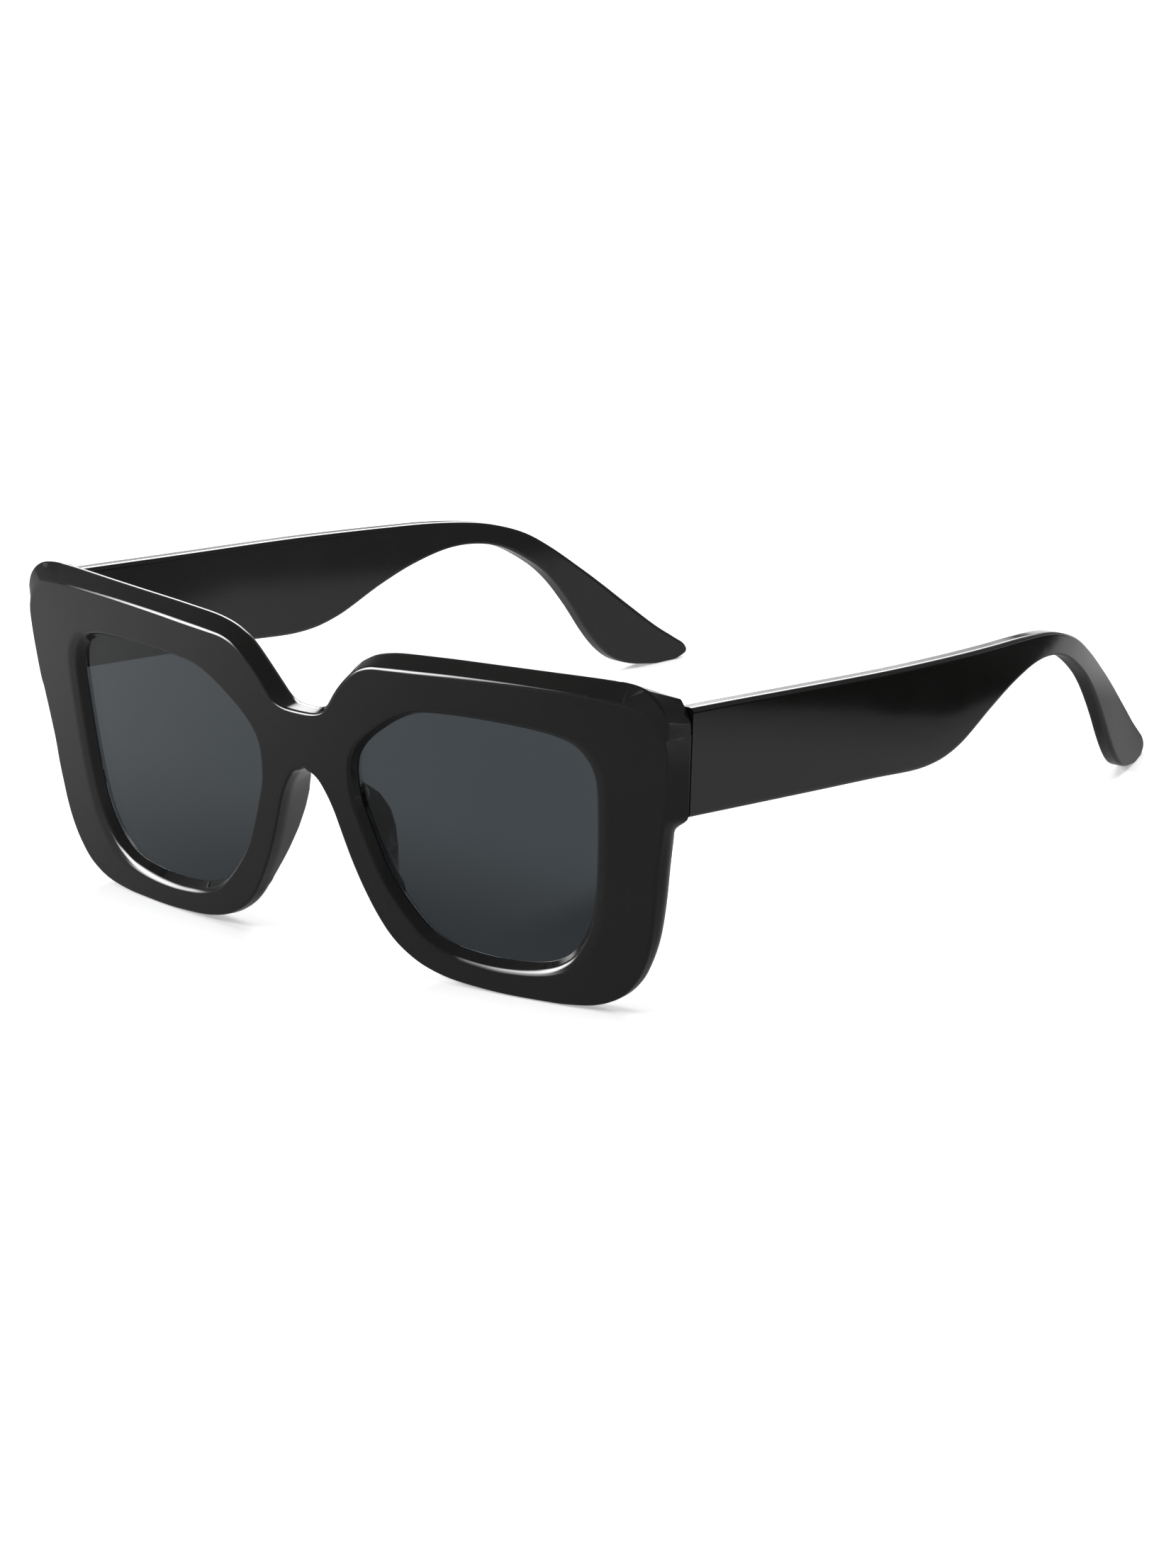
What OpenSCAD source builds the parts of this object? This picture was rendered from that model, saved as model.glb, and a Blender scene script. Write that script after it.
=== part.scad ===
// Oversized sunglasses with a moulded, forward-curved front, two tinted lenses and two folding temples.
// X runs to the wearer's left, Y from the lenses back to the ears, Z up.
// The open glasses rest on the rim bottoms and the temple tips at Z = 0, and the origin is on
// that plane under their middle. Shapes are drawn with Y = 0 at the front of the bridge.

/* [Front] */
// Width of the front beside a lens opening, out to its corner
side_w = 13.7; // [13:0.1:15]
// Height of the brow above a lens opening
brow_h = 8.3; // [7.8:0.1:9]
// Thickness of the moulded rims
rim_t = 4; // [3.8:0.1:4.4]
// Radius of the forward curve of the front
wrap_r = 328; // [310:1:360]
// How far the bevel lowers the front edge of the brow
bevel_drop = 2; // [1.2:0.1:2.4]
// Flat land left behind the bevel
bevel_land = 0.8; // [0.4:0.1:1.2]

/* [Lenses] */
// Width of one lens opening at the front lip
lens_w = 50.4; // [49:0.1:51]
// Height of one lens opening at the front lip
lens_h = 43; // [42:0.1:44]
// Distance between the two lens openings
bridge_w = 19.8; // [19:0.1:21]
// Height of the rim below a lens opening
sill_h = 3.7; // [3.2:0.1:4.4]
// Depth of the stepped lip round each opening
lip_depth = 0.9; // [0.6:0.1:1.2]
// Width of the lip beside the nose
lip_nose = 0.8; // [0.6:0.1:1.2]
// Width of the lip beside the temple
lip_side = 1.7; // [1:0.1:2]
// Width of the lip under the brow
lip_top = 1.1; // [0.8:0.1:1.6]
// Width of the lip above the rim bottom
lip_sill = 1.9; // [1:0.1:2.2]
// Depth of the lens face behind the front face
lens_depth = 1.8; // [1.6:0.1:1.9]
// Thickness of a lens
lens_t = 1.6; // [1.4:0.1:1.6]
// How far the lens edge sits in its groove
lens_seat = 0.9; // [0.6:0.1:1.1]
// Play of a lens in its groove
lens_play = 0.05; // [0.03:0.01:0.08]

/* [Nose pads] */
// Reach of a nose pad behind the front face
pad_reach = 9.3; // [8:0.1:10]
// Thickness of a nose pad
pad_t = 2.4; // [2:0.1:2.8]
// Outward flare of a nose pad in degrees
pad_flare = 15; // [8:1:18]

/* [Temples] */
// Reach of a temple behind its hinge
temple_l = 136.8; // [130:0.1:142]
// How far a temple's top at its hinge lies below the brow
temple_drop = 4.2; // [3.8:0.1:5.4]
// Thickness of a temple
temple_t = 3.2; // [3:0.1:3.6]
// How far a temple's outer face stands out past the front's corner
temple_step = 0.2; // [0:0.1:0.6]
// Downward slope of a temple in degrees
temple_slope = 9; // [7:0.5:11]
// Distance from the hinge to where a temple starts to curve inward
temple_straight = 32.6; // [28:0.1:45]
// Radius of the inward curve of a temple
temple_r = 260; // [230:1:320]
// Gap between the end of a temple and the front
joint_gap = 0.06; // [0.04:0.01:0.15]

/* [Hinges] */
// Distance of the joint face behind the front of the bridge
joint_y = 12.4; // [12.2:0.1:12.8]
// How far the middle of a hinge lies below the brow
hinge_drop = 12; // [11.6:0.1:12.8]
// Number of barrels in a hinge
barrel_count = 5; // [3:2:5]
// Height of one barrel
barrel_h = 1.5; // [1.3:0.05:1.6]
// Gap between neighbouring barrels
barrel_gap = 0.08; // [0.05:0.01:0.1]
// Outer radius of a barrel
barrel_r = 1.5; // [1.3:0.05:1.5]
// Radius of a hinge screw's shank
pin_r = 0.6; // [0.5:0.05:0.7]
// Running clearance between the shank and the barrels' bores
pin_clear = 0.05; // [0.03:0.01:0.08]
// Thickness of a hinge leaf
leaf_t = 1; // [0.8:0.1:1.1]
// Radius of a leaf screw's shank
screw_r = 0.6; // [0.5:0.05:0.65]
// Length of a leaf screw's shank below its head
screw_l = 2.7; // [2.2:0.1:2.9]

/* [Hidden] */
black = "#1c1d1c";
smoke = "#3b3c3e";
steel = "#b9bcc0";
curve_steps = 2;
round_fn = 48;
wrap_fn = 360;
front_w = bridge_w + 2 * (lens_w + side_w);
front_h = sill_h + lens_h + brow_h;
half_w = front_w / 2;
temple_x = half_w + temple_step;
temple_top = front_h - temple_drop;
hinge_z = front_h - hinge_drop;
middle_y = (joint_y + temple_l) / 2;
// Room that a cutting shape needs past the solid it cuts
spare = front_w / 7;
tall = front_h + spare;

// Right half of the front's outline, in shares of half the width and of the height: from the
// notch over the brow, then down the side and along the rim bottom, then up beside the nose
brow_shares = [[0, 0.765], [0.043, 0.769], [0.081, 0.811], [0.124, 0.873], [0.165, 0.925],
    [0.207, 0.96], [0.27, 0.98], [0.405, 0.992], [0.608, 1], [0.77, 1], [0.888, 0.996],
    [0.943, 0.984], [0.976, 0.956], [0.995, 0.912]];
side_shares = [[1, 0.864], [0.995, 0.782], [0.982, 0.691], [0.968, 0.6], [0.955, 0.524],
    [0.943, 0.447], [0.931, 0.367], [0.918, 0.291], [0.901, 0.222], [0.88, 0.156],
    [0.853, 0.098], [0.814, 0.051], [0.757, 0.018], [0.69, 0.003], [0.635, 0], [0.535, 0],
    [0.46, 0.005], [0.378, 0.016], [0.311, 0.036], [0.261, 0.069]];
nose_shares = [[0.22, 0.113], [0.184, 0.175], [0.151, 0.249], [0.123, 0.327], [0.099, 0.405],
    [0.078, 0.471], [0.057, 0.524], [0.032, 0.562], [0, 0.576]];
// How much of the bevel each brow point takes; below 0 the cut passes over the brow
bevel_shares = [-0.3, -0.2, 0.2, 0.5, 0.6, 0.7, 1, 1, 1, 1, 1, 0.3, -0.2, -0.4];

// Outline of a lens opening in shares of its width and height, from beside the nose over the top
opening_shares = [[0, 0.646], [0.003, 0.711], [0.024, 0.771], [0.072, 0.834], [0.139, 0.892],
    [0.211, 0.943], [0.298, 0.983], [0.417, 0.997], [0.557, 1], [0.716, 0.994], [0.839, 0.98],
    [0.922, 0.952], [0.972, 0.906], [0.996, 0.843], [1, 0.773], [0.994, 0.657], [0.984, 0.53],
    [0.972, 0.413], [0.956, 0.307], [0.932, 0.211], [0.895, 0.135], [0.845, 0.07], [0.775, 0.028],
    [0.676, 0.007], [0.557, 0], [0.457, 0.006], [0.362, 0.023], [0.278, 0.063], [0.215, 0.123],
    [0.155, 0.2], [0.103, 0.286], [0.065, 0.383], [0.034, 0.476], [0.008, 0.564]];

// Back edge of a nose pad from its lower end up, in shares of its reach and of the front's height
pad_shares = [[0, 0.13], [0.3, 0.14], [0.5, 0.19], [0.7, 0.255], [0.87, 0.32], [0.98, 0.385],
    [1, 0.44], [0.93, 0.49], [0.76, 0.535], [0.5, 0.57], [0.3, 0.585], [0, 0.59]];

// Side view of a temple in shares of its reach and of its height at the hinge: from the hinge
// along the top to the tip, then back along the underside
temple_shares = [[-0.032, 1.017], [0.202, 0.915], [0.421, 0.821], [0.567, 0.758], [0.633, 0.729],
    [0.692, 0.695], [0.735, 0.657], [0.776, 0.602], [0.812, 0.526], [0.849, 0.432],
    [0.883, 0.341], [0.918, 0.241], [0.951, 0.145], [0.98, 0.068], [0.998, 0.026],
    [0.996, 0.003], [0.966, 0], [0.933, 0.006], [0.906, 0.026], [0.885, 0.062], [0.869, 0.116],
    [0.855, 0.181], [0.841, 0.259], [0.827, 0.331], [0.811, 0.4], [0.792, 0.462], [0.77, 0.518],
    [0.744, 0.564], [0.717, 0.596], [0.688, 0.614], [0.655, 0.618], [0.618, 0.606],
    [0.582, 0.584], [0.545, 0.556], [0.512, 0.528], [0.483, 0.504], [0.46, 0.488],
    [0.437, 0.48], [0.414, 0.486], [0.348, 0.515], [0.202, 0.578], [-0.032, 0.679]];

// Return at each outer corner, which carries the hinge and meets the temple
return_low = [0.87 * half_w, 0.625 * front_h];
return_high = [temple_x, 0.945 * front_h];
return_round = 0.55 * rim_t;
return_depth = 0.4 * rim_t;

// Hinge layout
temple_in = temple_x - temple_t;
pin_x = temple_in - 1.2 * barrel_r;
hinge_h = barrel_count * (barrel_h + barrel_gap) - barrel_gap;
hinge_low = hinge_z - hinge_h / 2;
barrel_step = barrel_h + barrel_gap;
barrel_room = 0.16 * barrel_r;
web_t = barrel_r;
pin_head_r = 1.9 * pin_r;
pin_head_h = pin_r;
leaf_h = 0.86 * hinge_h;
leaf_play = leaf_t / 20;
front_leaf_w = 3.5 * barrel_r;
front_leaf_x = pin_x - front_leaf_w - 1.2 * barrel_r;
front_leaf_y = joint_y - 1.5 * barrel_r;
temple_leaf_x = temple_in - 0.6 * leaf_t;
temple_leaf_y = joint_y + 1.3 * barrel_r;
temple_leaf_l = 6 * barrel_r;
screw_head_r = 1.8 * screw_r;
screw_head_h = 0.75 * screw_r;
screw_pitch = 6 * screw_r;

// Point a share t of the way along the smooth curve from b to c
function smooth_point(a, b, c, d, t) = b + t / 2 * (c - a + t * (2 * a - 5 * b + 4 * c - d
    + t * (3 * b - a - 3 * c + d)));

// Smooth closed curve through the given points
function smooth_loop(p) = let (n = len(p)) [for (i = [0:n - 1]) for (k = [0:curve_steps - 1])
    smooth_point(p[(i + n - 1) % n], p[i], p[(i + 1) % n], p[(i + 2) % n], k / curve_steps)];

// Smooth open curve through the given points
function smooth_run(p) = let (n = len(p)) concat([for (i = [0:n - 2]) for (k = [0:curve_steps - 1])
    smooth_point(p[max(i - 1, 0)], p[i], p[i + 1], p[min(i + 2, n - 1)], k / curve_steps)], [p[n - 1]]);

// Points of an outline given in shares of a box
function in_box(shares, low, size) = [for (s = shares) [low.x + s.x * size.x, low.y + s.y * size.y]];

// Clockwise closed outline moved outward by d
function grow(p, d) = let (n = len(p)) [for (i = [0:n - 1])
    let (run = p[(i + 1) % n] - p[(i + n - 1) % n]) p[i] + d * [-run.y, run.x] / norm(run)];

// Open line moved to its right by d
function beside(p, d) = let (n = len(p)) [for (i = [0:n - 1])
    let (run = p[min(i + 1, n - 1)] - p[max(i - 1, 0)]) p[i] + d * [run.y, -run.x] / norm(run)];

// Outline with what dips below the plane that the glasses rest on cut level with it
function rested(p) = [for (q = p) [q.x, max(q.y, 0)]];

function backward(p) = [for (i = [len(p) - 1:-1:0]) p[i]];

// Round corner from one angle to another about a centre
function corner(centre, r, from, to) = [for (k = [0:curve_steps * 2])
    centre + r * [cos(from + (to - from) * k / (curve_steps * 2)),
        sin(from + (to - from) * k / (curve_steps * 2))]];

// Distance that the forward curve sets the front back at x
function wrap_y(x) = wrap_r - sqrt(wrap_r * wrap_r - x * x);

// Outlines in X and Z
half_outline = in_box(concat(brow_shares, side_shares, nose_shares), [0, 0], [half_w, front_h]);
mirror_outline = [for (i = [len(half_outline) - 2:-1:1]) [-half_outline[i].x, half_outline[i].y]];
front_outline = rested(smooth_loop(concat(half_outline, mirror_outline)));
lip_outline = smooth_loop(in_box(opening_shares, [bridge_w / 2, sill_h], [lens_w, lens_h]));
window_outline = smooth_loop(in_box(opening_shares, [bridge_w / 2 + lip_nose, sill_h + lip_sill],
    [lens_w - lip_nose - lip_side, lens_h - lip_sill - lip_top]));
return_outline = concat([return_low, [return_low.x, return_high.y]],
    corner(return_high - [return_round, return_round], return_round, 90, 0),
    corner([return_high.x - return_round, return_low.y + return_round], return_round, 0, -90));

// Side views in Y and Z
pad_side = smooth_run(in_box(pad_shares, [0, 0], [pad_reach, front_h]));
temple_side = rested(smooth_loop(in_box(temple_shares, [joint_y, 0], [temple_l, temple_top])));

// Lower edge of the bevel's cut, seen along its slope: it follows the brow and the forward curve
bevel_angle = atan(bevel_drop / (rim_t - bevel_land));
bevel_points = smooth_run([for (i = [0:len(brow_shares) - 1])
    [brow_shares[i].x * half_w, brow_shares[i].y * front_h - bevel_shares[i] * bevel_drop]]);
bevel_line = [for (p = bevel_points) [p.x, p.y * cos(bevel_angle) - wrap_y(p.x) * sin(bevel_angle)]];
bevel_outline = concat([[0, tall], [0, bevel_line[0].y]], bevel_line,
    [[half_w + spare, bevel_line[len(bevel_line) - 1].y], [half_w + spare, tall]]);

// Strip beside the nose that a pad is drawn out from
pad_line = smooth_run(in_box(nose_shares, [0, 0], [half_w, front_h]));
pad_strip = [for (p = concat(pad_line, backward(beside(pad_line, pad_t)))) [p.x * cos(pad_flare), p.y]];

// Puts a shape on the wearer's left side (1) or mirrors it to the right side (-1)
module on_side(side) {
    if (side > 0) children();
    else mirror([1, 0, 0]) children();
}

// Puts a finished piece on its side and brings the middle of the glasses to the origin
module placed(side = 1) {
    translate([0, -middle_y, 0]) on_side(side) children();
}

// Outline in X and Z drawn out along Y
module along_y(points, from, to) {
    translate([0, to, 0]) rotate([90, 0, 0]) linear_extrude(to - from) polygon(points);
}

// Outline in Y and Z drawn out along X
module along_x(points, from, to) {
    translate([from, 0, 0]) rotate([90, 0, 90]) linear_extrude(to - from) polygon(points);
}

// Everything behind the curved surface that lies at a depth in the front
module behind(depth, more = 0) {
    translate([0, wrap_r, -spare - more])
        cylinder(r = wrap_r - depth, h = front_h + 2 * (spare + more), $fn = wrap_fn);
}

// Curved sheet with an outline, between two depths in the front
module curved_sheet(points, near, far) {
    difference() {
        intersection() {
            along_y(points, -spare, 2 * spare);
            behind(near);
        }
        behind(far, spare);
    }
}

// Everything ahead of the plane where a temple meets the front
module ahead_of_joint(gap) {
    translate([0, joint_y + gap, hinge_z]) rotate([-temple_slope, 0, 0])
        translate([0, -2 * front_h, -front_h]) cube([front_w, 2 * front_h, 2 * front_h]);
}

// Long bevel over the brow, cut along its slope
module bevel_cut(side) {
    on_side(side) rotate([90 + bevel_angle, 0, 0]) translate([0, 0, -tall])
        linear_extrude(2 * tall) polygon(bevel_outline);
}

// Block behind each outer corner that the hinge sits in
module return_block(side) {
    on_side(side) intersection() {
        along_y(return_outline, 0, 2 * joint_y);
        behind(return_depth);
        ahead_of_joint(0);
    }
}

// Nose pad moulded in one with the rim
module nose_pad(side) {
    on_side(side) intersection() {
        rotate([0, 0, -pad_flare]) along_y(pad_strip, 0, 2 * pad_reach);
        along_x(pad_side, 0, half_w);
        behind(rim_t / 4);
    }
}

// Stepped opening with the groove that holds a lens
module lens_opening(side) {
    on_side(side) {
        difference() {
            along_y(lip_outline, -spare, 2 * spare);
            behind(lip_depth, spare);
        }
        along_y(window_outline, -spare, 2 * spare);
        curved_sheet(grow(window_outline, lens_seat + lens_play), lens_depth - lens_play,
            lens_depth + lens_t + lens_play);
    }
}

// Seat in the back of the rim for the end of a temple
module temple_seat(side) {
    on_side(side) difference() {
        along_x(grow(temple_side, joint_gap), temple_in - joint_gap, half_w + spare);
        ahead_of_joint(0);
    }
}

// Pocket in the return for the front leaf, with room for the barrels to turn
module hinge_pocket(side) {
    on_side(side) {
        translate([front_leaf_x - leaf_play, front_leaf_y - leaf_play, hinge_low - barrel_room])
            cube([pin_x + barrel_r + barrel_room - front_leaf_x + leaf_play, spare,
                hinge_h + pin_head_h + 2 * barrel_room]);
        front_screw_places() cylinder(r = screw_r, h = screw_l, $fn = round_fn);
    }
}

// Puts a screw with its tip at Z = 0 and its shank upward at each place in the front leaf
module front_screw_places() {
    for (z = [-1, 1])
        translate([front_leaf_x + front_leaf_w / 2, front_leaf_y + leaf_t - screw_l,
            hinge_z + z * screw_pitch / 2])
            rotate([-90, 0, 0]) children();
}

// The same for the leaf let into a temple
module temple_screw_places() {
    for (y = [1, 2])
        translate([temple_leaf_x + screw_l, temple_leaf_y + y * temple_leaf_l / 3, hinge_z])
            rotate([0, -90, 0]) children();
}

// Screw with a flat round head
module leaf_screw() {
    cylinder(r = screw_r, h = screw_l, $fn = round_fn);
    translate([0, 0, screw_l]) cylinder(r = screw_head_r, h = screw_head_h, $fn = round_fn);
}

// Barrels of one leaf, every second one from a first place, with a web reaching to the plate
module barrels(first, web_corner, web_size) {
    for (i = [first:2:barrel_count - 1])
        translate([0, 0, hinge_low + i * barrel_step]) {
            translate([pin_x, joint_y, 0]) cylinder(r = barrel_r, h = barrel_h, $fn = round_fn);
            translate([web_corner.x, web_corner.y, 0]) cube([web_size.x, web_size.y, barrel_h]);
        }
}

// Running bore through the barrels; below the given height it grips the thread
module barrel_bore(grip_h) {
    translate([pin_x, joint_y, hinge_low - barrel_h])
        cylinder(r = pin_r, h = hinge_h + 2 * barrel_h, $fn = round_fn);
    translate([pin_x, joint_y, hinge_low + grip_h])
        cylinder(r = pin_r + pin_clear, h = hinge_h + barrel_h, $fn = round_fn);
}

// Moulded front: brow, rims, nose pads and returns in one piece
module front_frame() {
    color(black) placed() difference() {
        union() {
            curved_sheet(front_outline, 0, rim_t);
            for (side = [-1, 1]) {
                return_block(side);
                nose_pad(side);
            }
        }
        for (side = [-1, 1]) {
            lens_opening(side);
            bevel_cut(side);
            temple_seat(side);
            hinge_pocket(side);
        }
    }
}

// Tinted lens, curved like the front
module lens(side) {
    color(smoke) placed(side)
        curved_sheet(grow(window_outline, lens_seat), lens_depth, lens_depth + lens_t);
}

// Slab that a temple is cut from: straight from the hinge, then curved inward
module temple_slab() {
    bend_y = joint_y + temple_straight;
    translate([temple_in, 0, 0]) cube([temple_t, bend_y, tall]);
    intersection() {
        translate([temple_x - temple_r, bend_y, 0]) difference() {
            cylinder(r = temple_r, h = tall, $fn = wrap_fn);
            translate([0, 0, -spare])
                cylinder(r = temple_r - temple_t, h = tall + 2 * spare, $fn = wrap_fn);
        }
        translate([0, bend_y, -spare]) cube([half_w + spare, 2 * temple_l, tall + 2 * spare]);
    }
}

// Temple with its flared hook, and a shallow seat for its hinge leaf
module temple(side) {
    color(black) placed(side) difference() {
        intersection() {
            translate([0, 0, -spare / 2]) temple_slab();
            along_x(temple_side, 0, half_w + spare);
        }
        ahead_of_joint(joint_gap);
        translate([temple_in - leaf_t, temple_leaf_y - leaf_play, hinge_z - leaf_h / 2 - leaf_play])
            cube([temple_leaf_x + 2 * leaf_t - temple_in + leaf_play, temple_leaf_l + 2 * leaf_play,
                leaf_h + 2 * leaf_play]);
        temple_screw_places() cylinder(r = screw_r, h = screw_l, $fn = round_fn);
    }
}

// Front half of a hinge: plate, webs and the outer barrels
module front_hinge_leaf(side) {
    color(steel) placed(side) difference() {
        union() {
            translate([front_leaf_x, front_leaf_y, hinge_z - leaf_h / 2])
                cube([front_leaf_w, leaf_t, leaf_h]);
            barrels(0, [front_leaf_x + front_leaf_w - leaf_t, front_leaf_y],
                [pin_x - front_leaf_x - front_leaf_w + leaf_t, web_t]);
        }
        barrel_bore(barrel_h);
        front_screw_places() cylinder(r = screw_r, h = screw_l, $fn = round_fn);
    }
}

// Temple half of a hinge: plate, webs and the barrels between the others
module temple_hinge_leaf(side) {
    color(steel) placed(side) difference() {
        union() {
            translate([temple_leaf_x, temple_leaf_y, hinge_z - leaf_h / 2])
                cube([leaf_t, temple_leaf_l, leaf_h]);
            barrels(1, [pin_x, joint_y],
                [temple_leaf_x + leaf_t / 2 - pin_x, temple_leaf_y + leaf_t - joint_y]);
        }
        barrel_bore(0);
        temple_screw_places() cylinder(r = screw_r, h = screw_l, $fn = round_fn);
    }
}

// Screw that the hinge turns on, with its head on the top barrel
module hinge_screw(side) {
    color(steel) placed(side) translate([pin_x, joint_y, hinge_low]) {
        cylinder(r = pin_r, h = hinge_h, $fn = round_fn);
        translate([0, 0, hinge_h]) cylinder(r = pin_head_r, h = pin_head_h, $fn = round_fn);
    }
}

module front_leaf_screws(side) {
    color(steel) placed(side) front_screw_places() leaf_screw();
}

module temple_leaf_screws(side) {
    color(steel) placed(side) temple_screw_places() leaf_screw();
}

front_frame();
lens(-1);  // right_lens
lens(1);  // left_lens
temple(-1);  // right_temple
temple(1);  // left_temple
front_hinge_leaf(-1);  // right_front_hinge_leaf
front_hinge_leaf(1);  // left_front_hinge_leaf
temple_hinge_leaf(-1);  // right_temple_hinge_leaf
temple_hinge_leaf(1);  // left_temple_hinge_leaf
hinge_screw(-1);  // right_hinge_screw
hinge_screw(1);  // left_hinge_screw
front_leaf_screws(-1);  // right_front_leaf_screws
front_leaf_screws(1);  // left_front_leaf_screws
temple_leaf_screws(-1);  // right_temple_leaf_screws
temple_leaf_screws(1);  // left_temple_leaf_screws
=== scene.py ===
import math

import bmesh
import bpy
import numpy as np
from mathutils import Matrix, Vector


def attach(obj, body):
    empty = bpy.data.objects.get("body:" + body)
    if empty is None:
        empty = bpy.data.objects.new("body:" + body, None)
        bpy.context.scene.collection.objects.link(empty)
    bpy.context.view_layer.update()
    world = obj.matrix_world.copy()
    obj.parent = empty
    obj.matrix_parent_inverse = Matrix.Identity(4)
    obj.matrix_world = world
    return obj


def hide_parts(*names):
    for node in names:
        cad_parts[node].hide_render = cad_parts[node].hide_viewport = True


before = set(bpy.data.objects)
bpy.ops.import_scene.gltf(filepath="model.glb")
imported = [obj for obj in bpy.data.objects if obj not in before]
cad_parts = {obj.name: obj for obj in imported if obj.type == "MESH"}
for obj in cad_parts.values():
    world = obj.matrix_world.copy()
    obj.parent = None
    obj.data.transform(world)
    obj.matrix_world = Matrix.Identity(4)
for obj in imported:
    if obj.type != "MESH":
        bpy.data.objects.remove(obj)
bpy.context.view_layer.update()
scene = bpy.context.scene
print("frame loaded")

# Shapes are drawn in millimetres with y = 0 at the front of the bridge
mm = 0.001
backShift = -74.6
# in metres, how near two points of a mesh are when they count as one
weldDistance = 2e-6
smoothAngle = math.radians(35)


# Camera: where the picture was taken from, with a long lens
view = {
    "azimuth": 44.2554, "height": 18.976, "roll": -4.7071, "distance": 942.851,
    "aimRight": 43.4651, "aimUp": 27.7703, "pixelsPerMm": 8.65039, "pictureWidth": 1659,
    "sensorWidth": 36, "clipStart": 0.05,
}
turn, tilt, roll = (math.radians(view[k]) for k in ("azimuth", "height", "roll"))
towards = Vector((math.sin(turn) * math.cos(tilt), -math.cos(turn) * math.cos(tilt), math.sin(tilt)))
level = Vector((math.cos(turn), math.sin(turn), 0))
upright = towards.cross(level)
cameraRight = level * math.cos(roll) + upright * math.sin(roll)
cameraUp = upright * math.cos(roll) - level * math.sin(roll)
facing = Matrix((cameraRight, cameraUp, towards)).transposed().to_4x4()
eye = towards * view["distance"] + cameraRight * view["aimRight"] + cameraUp * view["aimUp"]
eye.y += backShift
bpy.ops.object.camera_add()
camera = bpy.context.object
camera.matrix_world = Matrix.Translation(eye * mm) @ facing
camera.data.sensor_fit = "HORIZONTAL"
camera.data.sensor_width = view["sensorWidth"]
camera.data.lens = view["sensorWidth"] * view["pixelsPerMm"] * view["distance"] / view["pictureWidth"]
camera.data.clip_start = view["clipStart"]
scene.camera = camera
print("camera set")


# Small helpers for modelling
def clearSelection():
    if bpy.context.object and bpy.context.object.mode != "OBJECT":
        bpy.ops.object.mode_set(mode="OBJECT")
    bpy.ops.object.select_all(action="DESELECT")


def pickOnly(piece):
    clearSelection()
    piece.select_set(True)
    bpy.context.view_layer.objects.active = piece


def applyModifier(piece, kind, **settings):
    pickOnly(piece)
    modifier = piece.modifiers.new(kind.lower(), kind)
    for key, value in settings.items():
        setattr(modifier, key, value)
    bpy.ops.object.modifier_apply(modifier=modifier.name)


def smoothThrough(points, perGap=10):
    # a smooth line through given points
    p = np.array(points, float)
    p = np.vstack([2 * p[0] - p[1], p, 2 * p[-1] - p[-2]])
    t = np.linspace(0, 1, perGap, endpoint=False)[:, None]
    parts = []
    for a, b, c, d in zip(p[:-3], p[1:-2], p[2:-1], p[3:]):
        parts.append(0.5 * (2 * b + (c - a) * t + (2 * a - 5 * b + 4 * c - d) * t ** 2
                            + (3 * b - a - 3 * c + d) * t ** 3))
    return np.vstack(parts + [p[-2:-1]])


def evenly(points, step=0.1):
    gaps = np.linalg.norm(np.diff(points, axis=0), axis=1)
    along = np.concatenate([[0], np.cumsum(gaps)])
    want = np.linspace(0, along[-1], max(int(along[-1] / step), 2) + 1)
    return np.stack([np.interp(want, along, points[:, i]) for i in range(points.shape[1])], axis=1)


def softened(line, reach, flip=None):
    # blurs the wobble of the listed points out of an even line; flip turns over what lies past the ends
    # of an open line, and a closed line has none
    if flip is None:
        before, after = line[:-1], line[1:]
    else:
        before, after = line[:0:-1] * flip, line[-2::-1] * flip
    full = np.concatenate([before, line, after])
    weights = np.exp(-0.5 * (np.arange(-4 * reach, 4 * reach + 1) / reach) ** 2)
    weights /= weights.sum()
    out = np.stack([np.convolve(full[:, i], weights, "same") for i in range(2)], axis=1)
    return out[len(before):len(before) + len(line)]


def offsetInward(line, amount):
    run = np.gradient(line, axis=0)
    run /= np.linalg.norm(run, axis=1)[:, None]
    inward = np.stack([run[:, 1], -run[:, 0]], axis=1)
    return line + inward * np.asarray(amount).reshape(-1, 1)


def smoothStep(x, low, high):
    t = np.clip((np.asarray(x, float) - low) / (high - low), 0, 1)
    return t * t * (3 - 2 * t)


def lengths(vectors):
    return np.maximum(np.linalg.norm(vectors, axis=1), 1e-9)[:, None]


def filletRings(corners, radii, steps, backWays=None, aheadWays=None):
    # corners: one array of points for each corner of the section; gives the rings of a rounded
    # section. A fillet takes less than half of a side, and a ring hugs both of its ends.
    mostOfSide, hug = 0.42, 0.07
    rings = []
    count = len(corners)
    for i, (corner, radius, step) in enumerate(zip(corners, radii, steps)):
        if step == 0:
            rings.append(corner)
            continue
        back = (backWays or {}).get(i, corners[i - 1] - corner)
        ahead = (aheadWays or {}).get(i, corners[(i + 1) % count] - corner)
        shorter = np.minimum(lengths(back), lengths(ahead))
        back, ahead = back / lengths(back), ahead / lengths(ahead)
        reach = np.minimum(np.asarray(radius, float).reshape(-1, 1), mostOfSide * shorter)
        margin = np.minimum(hug, 0.25 * reach)
        start, end = corner + back * reach, corner + ahead * reach
        rings.append(corner + back * (reach + margin))
        for k in range(step + 1):
            u = k / step
            rings.append((1 - u) ** 2 * start + 2 * u * (1 - u) * corner + u * u * end)
        rings.append(corner + ahead * (reach + margin))
    return rings


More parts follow.
